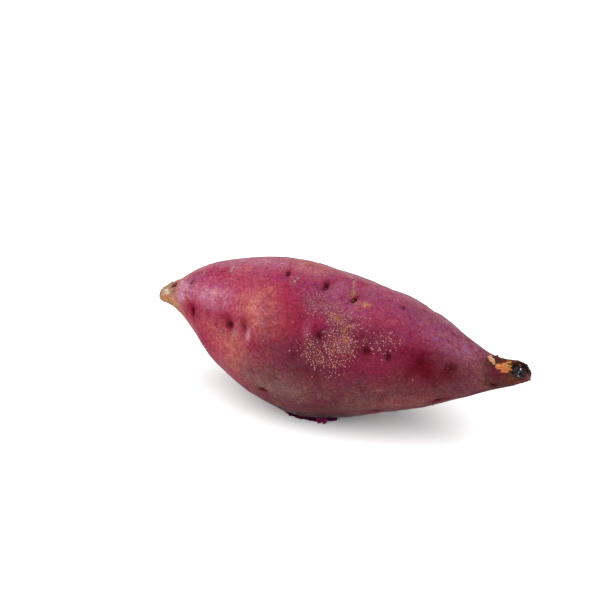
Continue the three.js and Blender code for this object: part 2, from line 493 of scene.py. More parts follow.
def line_far(start, start_clock, end, end_clock):
    """Millimetres from every point to a line drawn on the skin."""
    step_along, step_round = steps_from(start, start_clock)
    to_end_along = end - start
    to_end_round = math.radians(end_clock - start_clock) * radius
    length = to_end_along**2 + to_end_round**2
    share = np.clip((step_along * to_end_along + step_round * to_end_round) / length, 0, 1)
    return np.hypot(step_along - share * to_end_along, step_round - share * to_end_round)


def facing(place_clock):
    """1 where the root faces a clock angle, 0 at a quarter turn from it, -1 opposite."""
    return np.cos(np.radians(clock - place_clock))


crown_side = smoothstep(along, 100, 135) * (1 - in_hollow)
tail_side = 1 - smoothstep(along, 20, 45)
print("points towards the crown:", int((crown_side > 0.5).sum()))

# %% Carve the creases, cracks, scars, cork and swellings
# The factors from here on are depths in mm
creased = creases(16, 26, 11)
fine_creased = creases(9, 70, 23)
inward += crown_side * (0.08 * creased + 0.05 * fine_creased)
inward += tail_side * (0.10 * creased + 0.09 * fine_creased)
inward += 0.03 * fine_creased
crack_mask = np.zeros(len(points))
crack_bend = 0.5 * waver(2.5, 71)
for *ends, half, deep in CRACKS:
    crack = bell(line_far(*ends) + crack_bend * half, 0, half) * on_skin
    crack_mask = np.maximum(crack_mask, crack * deep / FULLY_DARK_CRACK)
    inward += deep * crack
scar_far = np.full(len(points), FAR_OFF)
for *ends, half in SCARS:
    scar_far = np.minimum(scar_far, (line_far(*ends) + crack_bend * half) / half)
inward += 0.12 * bell(scar_far, 2, 0.9) - 0.10 * bell(scar_far)
cork_edge = along + 1.8 * waver(3.2, 5) + 0.9 * waver(1.2, 6) + 2 * facing(80)
cork_mask = 1 - smoothstep(cork_edge, 9, 14.5)
inward += cork_mask * (0.24 * waver(1.6, 9) + 0.12 * waver(0.8, 2))
swell = sum(high * waver(size, seed) for high, size, seed in SWELLINGS)
inward -= swell * smoothstep(along, 2, 14) * (1 - smoothstep(along, 140, 158))
print("points on cork:", int((cork_mask > 0.5).sum()))

# %% Torn skin, the scooped hollow above it, and the broken lip
# Along and clock of the middle of a patch, then half its length along the root and round it
TORN = [
    (159.9, 51, 2.0, 1.5),
    (161.6, 43, 1.9, 1.9),
    (161.8, 26, 0.8, 1.5),
    (161.8, 52, 0.8, 1.5),
    (160.6, 78, 1.3, 2.1),
]
SCOOP = (158.7, 81, 2.1, 1.8)
MOUTH_TOP = (163.6, 92, 2.0, 2.0)
SCOOP_DEEP = 0.5
BLACK_DEEP = 0.8
LIP_EDGE = 3.6
WET_RIDGE = 0.35


def past(start, full):
    """0 before a distance along the root, 1 on the skin past the next."""
    return smoothstep(along, start, full) * on_skin


def ragged_patch(places, full, none):
    """1 in the middle of ragged patches, 0 outside them."""
    far = np.minimum.reduce([far_from(*place) * ragged for place in places])
    return (1 - smoothstep(far, full, none)) * on_skin


ragged = 1 + 0.22 * waver(1.4, 31) + 0.14 * waver(0.6, 37)
flesh_mask = ragged_patch(TORN, 0.9, 1.1)
scoop_mask = ragged_patch([SCOOP], 0.7, 1.15)
black_gap_shade = ragged_patch([MOUTH_TOP], 0.8, 1.1)
inward += flesh_mask * (0.25 + 0.16 * fine_creased)
inward += scoop_mask * (SCOOP_DEEP + 0.2 * creases(3, 60, 53))
inward += BLACK_DEEP * black_gap_shade
inward += in_hollow * 0.35 * creases(3, 46, 41)
lip_band = past(160, 163)
under_band = smoothstep(along + 0.6 * creased, 158.6, 160.6) * on_skin
inward += lip_band * (0.25 * creases(4, 50, 47) + 0.15 * waver(0.7, 49))
# A band round the belly's lower front, just above the floor: partly a wet mark, partly painted
# contact shade; the skin is also lifted a little there
wet_clock = np.abs(clock + 66 + 2 * waver(6, 81)) / 22
wet_stain_and_shade = np.exp(-(wet_clock**8)) * smoothstep(along, 64, 68) * (1 - smoothstep(along, 94, 99))
inward -= WET_RIDGE * wet_stain_and_shade
inward *= smoothstep(points[:, 2], 0.02, 2.0)
print("points on torn flesh:", int((flesh_mask > 0.5).sum()))
print("deepest carving:", inward.max().round(2), "mm")

# %% Move the points
moved = points - normals * inward[:, None]
moved[:, 2] = np.maximum(moved[:, 2], 0)
skin.data.vertices.foreach_set("co", (moved * MM).astype(np.float32).ravel())
skin.data.update()
points = moved
normals = read(skin.data, "normal")
print("highest point:", points[:, 2].max().round(2), "mm")

# %% [markdown]
# ## Painting the skin's broad colours
#
# The colour of such a root drifts from rose and magenta on top to maroon at the shoulder and a
# dusty mauve underneath, with salmon and lilac clouds. A painter would lay these down in thin
# washes from a small box of pigments, so that is what the code does: each wash has a pigment, a
# place, a reach along and round the root, and a strength. Some washes paint light and shade: pale
# sheen and highlights on the upper front and on the lips of the eyes' hollows, and shade in those
# hollows, in the crown's hollow and where the belly meets the floor. The result is stored on the
# points, and the material reads it back and adds all that is finer.

# %% Pigments
PIGMENTS = {
    "magenta": (0.181, 0.013, 0.046),
    "rose": (0.218, 0.021, 0.055),
    "crimson": (0.181, 0.004, 0.025),
    "raspberry": (0.122, 0.005, 0.018),
    "maroon": (0.050, 0.000, 0.003),
    "salmon": (0.252, 0.049, 0.051),
    # Lilac: partly the skin's own tone, partly painted sheen and highlights
    "lilac_and_sheen": (0.227, 0.066, 0.108),
    "violet": (0.134, 0.025, 0.056),
    "purple": (0.063, 0.006, 0.015),
    "mauve": (0.067, 0.010, 0.015),
    "dust": (0.080, 0.028, 0.028),
    "silt": (0.130, 0.070, 0.062),
    "tan": (0.286, 0.086, 0.066),
    # Pale pink lilac: painted sheen and highlights
    "painted_sheen": (0.294, 0.107, 0.145),
    "plum": (0.045, 0.004, 0.016),
    "amber": (0.26, 0.10, 0.03),
    "umber": (0.050, 0.010, 0.008),
    "scar": (0.37, 0.20, 0.185),
    "collar": (0.046, 0.013, 0.012),
    "ring": (0.090, 0.030, 0.028),
    "cork_pink": (0.20, 0.085, 0.060),
    "cork_brown": (0.13, 0.060, 0.030),
    "cork_gold": (0.32, 0.14, 0.055),
    "ochre": (0.27, 0.105, 0.045),
    "cork_grey": (0.38, 0.30, 0.25),
    "flesh": (0.34, 0.105, 0.030),
    "flesh_pale": (0.42, 0.20, 0.10),
    "lip_brown": (0.070, 0.014, 0.009),
    "ash": (0.15, 0.085, 0.088),
    # Near black: partly the dead pith's own colour, partly painted shade in the crown's hollow
    "black_rot_and_shade": (0.008, 0.004, 0.004),
    # Near-black purple: partly a wet mark, partly painted contact shade
    "stain_and_contact_shade": (0.017, 0.000, 0.005),
}
print("pigments:", len(PIGMENTS))

# %% Where the washes lie
# Pigment, place along and clock, reach along and round in mm, strength
WASHES = [
    ("raspberry", 88, 22, 40, 14, 0.9),
    ("mauve", 98, -26, 48, 13, 0.95),
    ("mauve", 84, -95, 60, 30, 0.9),
    ("raspberry", 70, 185, 36, 18, 0.7),
    ("mauve", 95, 225, 50, 16, 0.7),
    ("crimson", 28, 190, 16, 18, 0.6),
    ("maroon", 128, 205, 18, 14, 0.6),
    ("violet", 112, 150, 24, 10, 0.5),
    ("salmon", 54, 158, 12, 8, 0.5),
    ("dust", 62, 232, 18, 9, 0.6),
    ("lilac_and_sheen", 92, 122, 13, 6, 0.3),
    ("salmon", 104, 196, 9, 6, 0.4),
    ("rose", 34, 56, 16, 16, 0.8),
    ("crimson", 36, 2, 12, 12, 0.8),
    ("crimson", 33, 77, 6, 6, 0.75),
    # Painted sheen: the lilac and pale washes at clock 36 to 43 near the tail
    ("lilac_and_sheen", 20, 42, 6, 5, 0.6),
    ("lilac_and_sheen", 36, 43, 7, 5, 0.6),
    ("painted_sheen", 31, 37, 5, 2.6, 0.6),
    ("painted_sheen", 41, 36, 4, 3.5, 0.55),
    ("salmon", 46, 71, 8, 5, 0.45),
    ("magenta", 56, 71, 5, 4, 0.6),
    # Painted shade: these crimson and raspberry washes darken the hollows beside the eyes near the
    # tail, over crimson skin, and the pale ones after them paint highlights on the hollows' lower
    # lips
    ("crimson", 24.0, 14, 4.0, 4.0, 0.9),
    ("raspberry", 23, 14, 2.6, 3.0, 0.5),
    ("crimson", 31.5, 12, 4, 4, 0.6),
    ("raspberry", 43.8, 23, 4.2, 3.8, 0.9),
    ("raspberry", 53.7, 28, 2.2, 2.6, 0.7),
    ("painted_sheen", 49.6, 17, 1.2, 1.8, 1.0),
    ("painted_sheen", 57.0, 20, 1.1, 2.6, 1.0),
    ("cork_pink", 49.5, 8, 5, 4, 0.35),
    ("salmon", 50, -5, 9, 8, 0.8),
    ("tan", 52, 6, 5, 4, 0.4),
    # Partly painted sheen: the salmon, tan and pale washes at clock 38 to 45
    ("salmon", 62, 42, 9, 8, 0.9),
    ("tan", 64, 38, 6, 6, 0.45),
    ("painted_sheen", 61, 45, 5, 5, 0.3),
    ("crimson", 67, 56, 4, 7, 0.6),
    ("crimson", 57, 84, 6, 3.5, 0.6),
    ("raspberry", 75, 40, 8, 7, 0.7),
    ("mauve", 70, 17, 13, 6, 0.4),
    ("dust", 68, -9, 12, 7, 0.85),
    ("painted_sheen", 49, 92, 20, 5, 0.7),
    ("painted_sheen", 30, 84, 10, 3, 0.4),
    ("painted_sheen", 72, 112, 30, 4, 0.5),
    ("tan", 71, 104, 9, 6, 0.6),
    ("violet", 79, 71, 7, 4, 0.6),
    ("violet", 82, 60, 4, 5, 0.5),
    ("violet", 90, 66, 8, 7, 0.8),
    ("lilac_and_sheen", 88.5, 78, 3, 3.5, 0.6),
    ("lilac_and_sheen", 96, 62, 4, 4, 0.5),
    # Painted shade in the hollow of the eye at 86.8 mm, and a painted lilac highlight beside it
    ("purple", 86, 33, 3.4, 4.5, 0.5),
    ("lilac_and_sheen", 82.0, 35, 1.2, 3, 0.4),
    ("lilac_and_sheen", 98.5, 29, 2, 2, 0.5),
    ("rose", 104, 80, 12, 8, 0.4),
    ("salmon", 111, 58, 8, 6, 0.3),
    ("crimson", 121, 42, 9, 6, 0.6),
    ("maroon", 125, 40, 9, 6, 0.35),
    ("maroon", 118, 30, 12, 8, 0.6),
    ("maroon", 132, 27, 12, 8, 0.98),
    ("maroon", 136, 24, 7, 6, 0.9),
    ("maroon", 138, 16, 8, 5, 0.9),
    ("purple", 81, 14, 8, 5, 0.8),
    # Painted shade: dark plum in the hollow of the same eye
    ("plum", 88.6, 33, 2.0, 3.4, 0.6),
    ("plum", 95.5, 41, 4.0, 3, 0.6),
    ("plum", 96, 12, 9, 5, 0.5),
    ("plum", 103.7, 29, 3, 3, 0.6),
    ("plum", 115.6, 28, 2.4, 3, 0.6),
    ("purple", 104, 34, 8, 5, 0.6),
    ("raspberry", 112, 13, 8, 4, 0.6),
    ("violet", 118, 18, 8, 4, 0.15),
    ("purple", 85, 12, 5, 4, 0.6),
    ("plum", 98, -2, 5, 3, 0.5),
    ("dust", 90, -10, 15, 6, 0.3),
    ("dust", 110, -16, 13, 5, 0.4),
    ("dust", 128, -8, 10, 4, 0.3),
    ("dust", 128, -24, 12, 5, 0.4),
    ("dust", 144, -8, 8, 6, 0.45),
    ("dust", 145, 42, 5, 5, 0.35),
    ("umber", 63, -21, 3, 1.6, 0.6),
    # Partly brown skin, partly painted contact shade: the umber washes at clock -38 to -50 darken
    # the lower front edge where it nears the floor
    ("umber", 76, -50, 16, 5, 0.8),
    ("umber", 91, -38, 9, 4, 0.5),
    ("umber", 112, -48, 22, 4, 0.4),
    ("dust", 112, -36, 16, 3, 0.5),
    ("painted_sheen", 111, 93, 12, 4, 0.35),
    ("violet", 122, 76, 20, 8, 0.7),
    ("violet", 139, 70, 15, 5, 0.85),
    ("lilac_and_sheen", 143, 66, 8, 4, 0.35),
    ("violet", 152, 66, 4, 4, 0.7),
    ("purple", 148, 20, 6, 5, 0.5),
    ("purple", 140, -30, 14, 8, 0.7),
    # Partly painted contact shade, as above
    ("umber", 91, -39, 10, 4, 0.6),
    ("magenta", 55, 71, 5, 4, 0.5),
    ("crimson", 126, 44, 7, 4, 0.25),
    ("maroon", 134, 20, 7, 6, 0.7),
    ("painted_sheen", 112, 108, 26, 3, 0.4),
    ("dust", 146, -11, 6, 6, 0.35),
    ("dust", 142, 42, 5, 4, 0.25),
    ("tan", 61, 45, 5, 5, 0.25),
    ("cork_pink", 33, 7, 4, 4, 0.15),
    ("dust", 69, 18, 5, 4, 0.3),
    ("tan", 119, -36, 10, 2.5, 0.2),
    ("raspberry", 76, 48, 8, 5, 0.35),
    ("raspberry", 80, 42, 4, 3, 0.3),
    ("purple", 82, 21, 4, 4, 0.55),
    ("maroon", 135.5, 15, 4, 3, 0.35),
    ("dust", 141, 70, 9, 5, 0.2),
    ("lilac_and_sheen", 141, 68, 8, 4, 0.3),
    ("dust", 149, 58, 4, 4, 0.3),
    ("dust", 76, -12, 6, 4.5, 0.5),
    ("silt", 75, -10, 5, 3, 0.45),
    ("silt", 65, -16, 4, 2.6, 0.5),
    ("silt", 103, -27, 4, 2, 0.15),
    ("dust", 69, -6, 4, 3, 0.3),
    ("umber", 84, -3, 6, 3, 0.3),
    ("dust", 137, -18, 6, 2.5, 0.4),
]
# The same for the end of the tail and for the crown, laid over the rest
END_WASHES = [
    ("cork_brown", 7, 74, 4, 5, 0.8),
    ("cork_brown", 8, -40, 3, 5, 0.7),
    ("cork_gold", 5, 10, 2.2, 3.4, 0.9),
    ("cork_gold", 10, 8, 2.6, 1.6, 0.6),
    ("cork_grey", 5.4, 36, 1.5, 1.2, 0.95),
    ("cork_grey", 6, 120, 2.5, 2.5, 0.6),
    ("cork_gold", 9, 190, 4, 3, 0.6),
    ("tan", 13, 46, 1.4, 2.2, 0.6),
    ("ochre", 13.5, -4, 3.2, 1.9, 0.85),
    ("ochre", 19, -21, 5, 1.5, 0.7),
    ("tan", 17, 84, 9, 1.4, 0.55),
    ("painted_sheen", 15.5, 38, 2.0, 3.0, 0.95),
    ("painted_sheen", 22, 38, 3.0, 1.6, 0.3),
    ("plum", 21.4, 53, 1.0, 1.2, 0.6),
    ("cork_gold", 92.7, 79, 0.9, 1.7, 0.6),
    ("tan", 95.6, 69, 1.4, 0.9, 0.5),
    ("cork_gold", 100.4, 69, 0.9, 0.8, 0.85),
    ("amber", 92.0, 49, 0.8, 0.6, 0.7),
    ("amber", 98.7, 45, 0.8, 0.4, 0.7),
    ("amber", 96.6, 41, 0.6, 0.5, 0.6),
    ("amber", 98.8, 33, 0.5, 1.2, 0.7),
    ("amber", 94.7, 23, 0.6, 0.6, 0.6),
    ("amber", 101.7, 23, 0.5, 0.6, 0.5),
]
print("washes:", len(WASHES) + len(END_WASHES))

# %% How a wash is laid
WASH_EDGE = 0.3

wash_bend = 1 + WASH_EDGE * waver(9, 61) + 0.5 * WASH_EDGE * waver(3.5, 67)
paint = np.tile(PIGMENTS["magenta"], (len(points), 1))


def lay(pigment, share):
    """Lays a pigment over the paint, in the share given for each point."""
    global paint
    paint = paint + share[:, None] * (np.array(PIGMENTS[pigment]) - paint)


def lay_washes(washes):
    for pigment, *place, strength in washes:
        far = far_from(*place) * wash_bend
        lay(pigment, strength * np.exp(-0.5 * far**2))


# %% Lay the washes
# The brown collar of the neck starts past 152 mm. At these clock angles its edge moves towards
# the tail by these millimetres
COLLAR_TURNS = (-180, -60, -25, -4, 17, 37, 60, 120, 180)
COLLAR_SHIFTS = (0, 1.4, 1.4, -0.4, -1.2, -0.8, -0.3, -0.3, 0)
DIMPLE_SHADE_TINT = (0.68, 0.32, 0.45)

# Each share is a strength times a mask, and the masks' edges are mm along or degrees of clock
lay_washes(WASHES)
# Painted shade: the paint is darkened and reddened in the eyes' dimples
paint *= 1 - dimple_shade[:, None] * (1 - np.array(DIMPLE_SHADE_TINT))
# Painted contact shade, partly a wet mark, along the lower front edge
lay("stain_and_contact_shade", 0.98 * wet_stain_and_shade)
lay("cork_pink", cork_mask)
lay_washes(END_WASHES)
# Painted highlights on the ridges of the fine creases near the tail
wrinkle_highlight = np.exp(-0.5 * far_from(17, 38, 4.5, 3.5) ** 2)
lay("painted_sheen", 0.9 * wrinkle_highlight * smoothstep(fine_creased, -0.1, 0.5))
collar_shift = np.interp(clock, COLLAR_TURNS, COLLAR_SHIFTS)
collar_edge = along + 0.7 * waver(2.4, 83) + collar_shift
lay("collar", 0.9 * smoothstep(collar_edge, 151.6, 153.4) * on_skin)
lay("purple", 0.75 * bell(clock, 12, 26) * past(154.5, 157))
lay("ring", 0.7 * bell(collar_edge, 152.6, 1.1) * on_skin)
lay("lip_brown", 0.85 * under_band * smoothstep(-clock, -20, 10))
lay("lip_brown", 0.9 * past(161.5, 163))
lay("flesh", flesh_mask)
lay("flesh_pale", flesh_mask * smoothstep(fine_creased, 0.0, 0.5) * 0.8)
# The scooped hollow is dark brown, with near black in its creases: partly dead skin, partly painted
# shade
lay("lip_brown", scoop_mask * (1 - flesh_mask))
lay("black_rot_and_shade", 0.5 * scoop_mask * (1 - flesh_mask) * smoothstep(fine_creased, -0.3, 0.3))
# Painted shade: near black in the gap under the crown's top lip and round the hollow's inner edge
lay("black_rot_and_shade", black_gap_shade * (1 - flesh_mask))
inner_rim_shade = past(161.5, 162.5) * smoothstep(-radius, -LIP_EDGE, 0.2 - LIP_EDGE)
inner_rim_shade *= 1 - 0.9 * smoothstep(facing(150), 0.7, 0.95)
lay("black_rot_and_shade", inner_rim_shade * (1 - flesh_mask))
lay("umber", 0.7 * np.minimum(crack_mask, 1))
lay("umber", 0.55 * bell(scar_far, 2, 0.8))
lay("scar", 0.7 * bell(scar_far))
# Painted shade: near black all through the hollow
lay("black_rot_and_shade", in_hollow * 1.0)
low_lip = in_hollow * smoothstep(along + 0.3 * creased, 161.1, 162.3)
lay("lip_brown", 0.9 * low_lip * smoothstep(facing(-90), 0.2, 0.7))
lay("ash", 0.22 * low_lip * smoothstep(facing(-122), 0.7, 0.95))
lay("ash", 0.5 * lip_band * smoothstep(facing(-125), 0.3, 0.8))
print("mean paint:", paint.mean(0).round(3).tolist())

# %% Specks: where they are thick
# Place along and clock, reach along and round in mm, and how thick the golden specks lie there
SPECKLED = [
    (81.5, 59, 2.8, 3.8, 0.75),
    (88.0, 55, 3.4, 2.8, 0.85),
    (94.5, 54, 3.0, 2.6, 0.35),
    (92.5, 47, 3.4, 2.6, 1.0),
    (100.5, 50, 3.0, 4.6, 0.32),
    (91.5, 39, 2.6, 3.0, 0.8),
    (97.4, 38, 3.6, 3.4, 0.75),
    (95.0, 28, 5.0, 3.8, 1.0),
    (100.5, 30, 2.4, 3.0, 0.8),
    (85.6, 23, 3.2, 3.4, 0.8),
    (89.0, 16, 3.4, 2.6, 0.95),
    (95.0, 15, 5.0, 2.6, 0.7),
    (102.0, 21, 2.0, 2.0, 0.35),
    (95.5, 5, 5.0, 2.4, 0.10),
    (106.0, 34, 2.6, 1.6, 0.25),
    (112.3, 37, 2.6, 3.0, 0.35),
    (117.0, 37, 2.0, 1.4, 0.22),
    (95.6, 68, 2.2, 1.2, 0.6),
    (58, 200, 7, 6, 0.8),
    (66, 192, 4, 8, 0.6),
    (112, 148, 6, 5, 0.7),
    (88, 244, 8, 4, 0.5),
]
STRAY_SPECKS = 0.002

speck_thick = np.full(len(points), STRAY_SPECKS)
for *place, thick in SPECKLED:
    far = far_from(*place) * wash_bend
    speck_thick = np.maximum(speck_thick, thick * np.exp(-0.5 * far**3))
speck_thick *= 1 - smoothstep(along, 148, 153)
lay("dust", 0.40 * speck_thick)
print("points among specks:", int((speck_thick > 0.1).sum()))


# %% Keep it all on the points
# Radius, in metres, of the sleeve that the unrolled place is read on
SLEEVE = 0.02


def keep_on_points(name, values, kind="FLOAT", field="value", mesh=skin.data):
    """Stores a value, a colour or a vector for every point of a mesh."""
    layer = mesh.attributes.new(name, kind, "POINT")
    layer.data.foreach_set(field, np.array(values, np.float32).ravel())


turn = np.radians(clock)
unrolled = np.stack([along * MM, SLEEVE * np.cos(turn), SLEEVE * np.sin(turn)], 1)
torn_mask = np.clip(flesh_mask + scoop_mask + lip_band + 0.6 * under_band + in_hollow, 0, 1)
# The pale frosting is strongest at the tail, low down and on top, and fades towards the crown
frost = 0.4 + 0.5 * tail_side + 0.4 * smoothstep(along, 80, 40) - 0.1 * crown_side
frost += 0.6 * smoothstep(-clock, -5, 25) * smoothstep(clock, -170, -140)
frost += 0.5 * smoothstep(clock, 55, 80) * smoothstep(-clock, -150, -120)
frost *= 1 - 0.8 * smoothstep(along, 148, 152)
frost *= 0.5 + 0.5 * smoothstep(paint[:, 1], 0.002, 0.02)
keep_on_points("washes", np.insert(paint, 3, 1, axis=1), "FLOAT_COLOR", "color")
keep_on_points("eye_far", eye_far)
keep_on_points("eye_dark_and_shade", eye_dark_and_shade)
keep_on_points("cork", cork_mask)
keep_on_points("torn", torn_mask)
keep_on_points("frost", frost)
keep_on_points("speck_thick", speck_thick)
keep_on_points("ends", np.clip(tail_side + crown_side, 0, 1))
keep_on_points("unrolled", unrolled, "FLOAT_VECTOR", "vector")
print("strongest frosting:", frost.max().round(2))

# %% [markdown]
# ## The skin's material
#
# Over the washes the eye sees soft mottling, a fine grain, a frosting of tiny pale pores, and
# hairline streaks that run lengthwise and close up towards both ends. All but the streaks are
# patterns read at each point of space, so they don't stretch. They multiply the washes instead
# of covering them, so a dark place stays dark. The streaks read the unrolled place, so they
# follow the root. The same patterns raise the surface a little, and dull or polish it.

# %% Helpers for material nodes
def wired(kind, inputs, **settings):
    """Adds a node to the tree in hand, with its inputs and its settings."""
    made = tree.nodes.new(kind)
    for name, value in settings.items():
        setattr(made, name, value)
    feed(made, inputs)
    return made


def calc(operation, a, b, clamp=False):
    return wired("ShaderNodeMath", {0: a, 1: b}, operation=operation, use_clamp=clamp).outputs[0]


def times(a, b):
    return calc("MULTIPLY", a, b)


def step_between(value, low, high, to_low=0.0, to_high=1.0):
    """A soft step: to_low below low, to_high above high."""
    numbers = {"Value": value, 1: low, 2: high, 3: to_low, 4: to_high}
    return wired("ShaderNodeMapRange", numbers, interpolation_type="SMOOTHSTEP").outputs[0]


def blend(share, a, b, kind="MIX"):
    """Colour a turned into colour b by a share."""
    colours = {0: share, 6: a, 7: b}
    return wired("ShaderNodeMix", colours, data_type="RGBA", blend_type=kind).outputs[2]


def cloud(place, size, detail=2.0, rough=0.5, output="Fac"):
    """Soft random values from 0 to 1 whose spots are size metres across."""
    numbers = {"Vector": place, "Scale": 1 / size, "Detail": detail, "Roughness": rough}
    return wired("ShaderNodeTexNoise", numbers).outputs[output]


def channel_of(colour, channel):
    return wired("ShaderNodeSeparateColor", {0: colour}).outputs[channel]


def cells(place, size):
    """Cells about size metres apart: distance from the middle, and a random colour for each."""
    return wired("ShaderNodeTexVoronoi", {"Vector": place, "Scale": 1 / size}).outputs


def attribute(name, output="Fac"):
    return wired("ShaderNodeAttribute", {}, attribute_name=name).outputs[output]


def in_space():
    return wired("ShaderNodeTexCoord", {}).outputs["Object"]


def bump_of(height, distance):
    return wired("ShaderNodeBump", {"Height": height, "Distance": distance}).outputs[0]


# %% Skin material: mottling
TINTS = [
    ("Red", 4.6, (1.22, 1.60, 1.00, 1), 0.7),
    ("Green", 4.0, (0.84, 1.15, 1.30, 1), 0.7),
    ("Blue", 3.2, (0.78, 0.45, 0.62, 1), 0.8),
]


def tinted(share, tint):
    """Multiplies the skin's colour by a tint, in a share."""
    global colour
    colour = blend(share, colour, tint, "MULTIPLY")


skin_paint, skin_shader = new_material("sweet_potato_skin")
place = in_space()
cork = attribute("cork")
colour = attribute("washes", "Color")
for channel, size, tint, share in TINTS:
    drift = channel_of(cloud(place, size * MM, 4.0, 0.6, "Color"), channel)
    tinted(step_between(drift, 0.48, 0.72, 0.0, share), tint)
print("skin material nodes:", len(tree.nodes))

# %% Skin material: streaks, grain and pores
GRAIN_LIGHT = (1.25, 1.45, 1.65, 1)
GRAIN_DARK = (0.74, 0.55, 0.55, 1)
FROST = (1.45, 1.9, 1.8, 1)
STREAK_SQUEEZE = (0.10, 1, 1)

squeezed = {"Vector": attribute("unrolled", "Vector"), "Scale": STREAK_SQUEEZE}
streaks = cloud(wired("ShaderNodeMapping", squeezed).outputs[0], 0.9 * MM, 3.0, 0.7)
streak_share = calc("ADD", times(attribute("ends"), 0.45), 0.15)
streak_share = calc("MAXIMUM", streak_share, attribute("torn"))
grain = cloud(place, 1.1 * MM, 3.0, 0.8)
for pattern, share, reach in ((streaks, streak_share, 0.22), (grain, 1.0, 0.16)):
    tinted(times(step_between(pattern, 0.5, 0.5 + reach), share), GRAIN_LIGHT)
    tinted(times(step_between(pattern, 0.5, 0.5 - reach), share), GRAIN_DARK)
pore = channel_of(cloud(place, 0.70 * MM, 2.0, 0.7, "Color"), "Green")
pore_share = times(attribute("frost"), 0.8)
tinted(times(step_between(pore, 0.48, 0.72), pore_share), FROST)
print("skin material nodes:", len(tree.nodes))

# %% Skin material: specks, cork and the eyes
SPECK_GOLD = (0.36, 0.17, 0.12, 1)
CORK_TINT = (1.25, 1.25, 1.2, 1)
# The core is partly the scar's own dark, partly painted shade in the pit; the wall tint is painted
# shade
CORE_DARK_AND_SHADE = (0.028, 0.001, 0.001, 1)
CORE_WALL_SHADE = (0.45, 0.12, 0.20, 1)

specks = cells(place, 0.95 * MM)
chance = calc("SUBTRACT", attribute("speck_thick"), specks["Color"])
speck = step_between(specks["Distance"], 0.20, 0.36, 1.0, 0.0)
speck = times(speck, step_between(chance, 0.0, 0.15))
colour = blend(times(speck, 0.5), colour, SPECK_GOLD)
crumbled = cells(place, 0.7 * MM)["Distance"]
crumbled = times(step_between(crumbled, 0.1, 0.7, 1.0, 0.0), cork)
tinted(crumbled, CORK_TINT)
wobble = calc("SUBTRACT", cloud(place, 0.6 * MM), 0.5)
eye_distance = calc("ADD", attribute("eye_far"), wobble)
core_dark_and_shade = attribute("eye_dark_and_shade")
# Painted shade: a crimson darkening on the pit's wall, then the dark core
tinted(times(step_between(eye_distance, 1.0, 2.5, 0.8, 0.0), core_dark_and_shade), CORE_WALL_SHADE)
core = times(step_between(eye_distance, 0.5, 1.2, 0.97, 0.0), core_dark_and_shade)
colour = blend(core, colour, CORE_DARK_AND_SHADE)
print("skin material nodes:", len(tree.nodes))

# %% Skin material: relief, gloss and sheen
SKIN_SPECULAR = 0.02
SKIN_SHEEN = 0.03
SHEEN_ROUGHNESS = 0.3
SHEEN_TINT = (1.0, 0.78, 0.82, 1)

rough = step_between(cloud(place, 7 * MM, 3.0), 0.3, 0.7, 0.38, 0.52)
height = times(grain, 0.22)
for pattern, high in ((streaks, 0.20), (speck, 0.05), (crumbled, 0.2)):
    height = calc("ADD", height, times(pattern, high))
feed(skin_shader, {
    "Base Color": colour,
    "Roughness": calc("ADD", rough, times(cork, 0.3), clamp=True),
    "Normal": bump_of(height, MM),
    "Specular IOR Level": SKIN_SPECULAR,
    "Sheen Weight": SKIN_SHEEN,
    "Sheen Roughness": SHEEN_ROUGHNESS,
    "Sheen Tint": SHEEN_TINT,
})


def ride_on_root(piece):
    """Marks a piece as part of the root."""
    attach(piece, "root")


skin.data.materials.append(skin_paint)
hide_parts("sweet_potato_root")
ride_on_root(skin)
print("skin material nodes:", len(tree.nodes))

# %% [markdown]
# ## Golden specks
#
# The golden specks are lenticels, pores that have pushed up crumbs of cork. Each is a crumb a
# millimetre wide at most, and hundreds lie in loose clouds. One crumb is made from a ball of 20
# faces, its corners shaken and pressed flat. Hundreds of copies, each turned and sized its own
# way, are set on random spots of the skin that are chosen thicker where the speckled clouds are.

# %% One crumb
bpy.ops.mesh.primitive_ico_sphere_add(subdivisions=1, radius=1)
crumb = bpy.context.object
bpy.ops.object.mode_set(mode="EDIT")
bpy.ops.mesh.select_all(action="SELECT")
bpy.ops.transform.vertex_random(offset=0.3, seed=5)
bpy.ops.transform.resize(value=(1, 0.85, 0.5))
bpy.ops.mesh.normals_make_consistent(inside=False)
bpy.ops.object.mode_set(mode="OBJECT")
crumb_points = read(crumb.data, "co")
crumb_faces = np.array([list(face.vertices) for face in crumb.data.polygons])
bpy.data.objects.remove(crumb)
print("one crumb:", len(crumb_faces), "faces")


# %% Spots for them
CLEAR_OF_FLOOR = 0.6


def scatter(weights, count, apart, seed):
    """Random spots on the skin, thicker where weights are high, never closer than apart mm.
    None is so low that what is set there would reach the floor."""
    skin.data.calc_loop_triangles()
    corners = np.empty(len(skin.data.loop_triangles) * 3, np.int32)
    skin.data.loop_triangles.foreach_get("vertices", corners)
    corners = corners.reshape(-1, 3)
    a, b, c = (points[corners[:, i]] for i in range(3))
    area = np.linalg.norm(np.cross(b - a, c - a), axis=1)
    chances = area * weights[corners].mean(1) * (points[corners[:, 0], 2] > CLEAR_OF_FLOOR)
    dice = np.random.default_rng(seed)
    drawn = corners[dice.choice(len(corners), 5 * count, p=chances / chances.sum())]
    shares = dice.dirichlet((1, 1, 1), len(drawn))[:, :, None]
    spots = (points[drawn] * shares).sum(1)
    kept = []
    for place, spot in enumerate(spots):
        if len(kept) == count:
            break
        if not kept or np.linalg.norm(spots[kept] - spot, axis=1).min() > apart:
            kept.append(place)
    return spots[kept], normals[drawn[kept, 0]]


# %% One piece of many crumbs
def axes_at(normal, turn):
    """Three axes at a spot: one turned from the root's length, one across it, and the normal."""
    normal = Vector(normal).normalized()
    lengthwise = (Vector((1, 0, 0)) - normal * normal.x).normalized()
    across = normal.cross(lengthwise)
    turned = lengthwise * math.cos(turn) + across * math.sin(turn)
    return turned, normal.cross(turned), normal


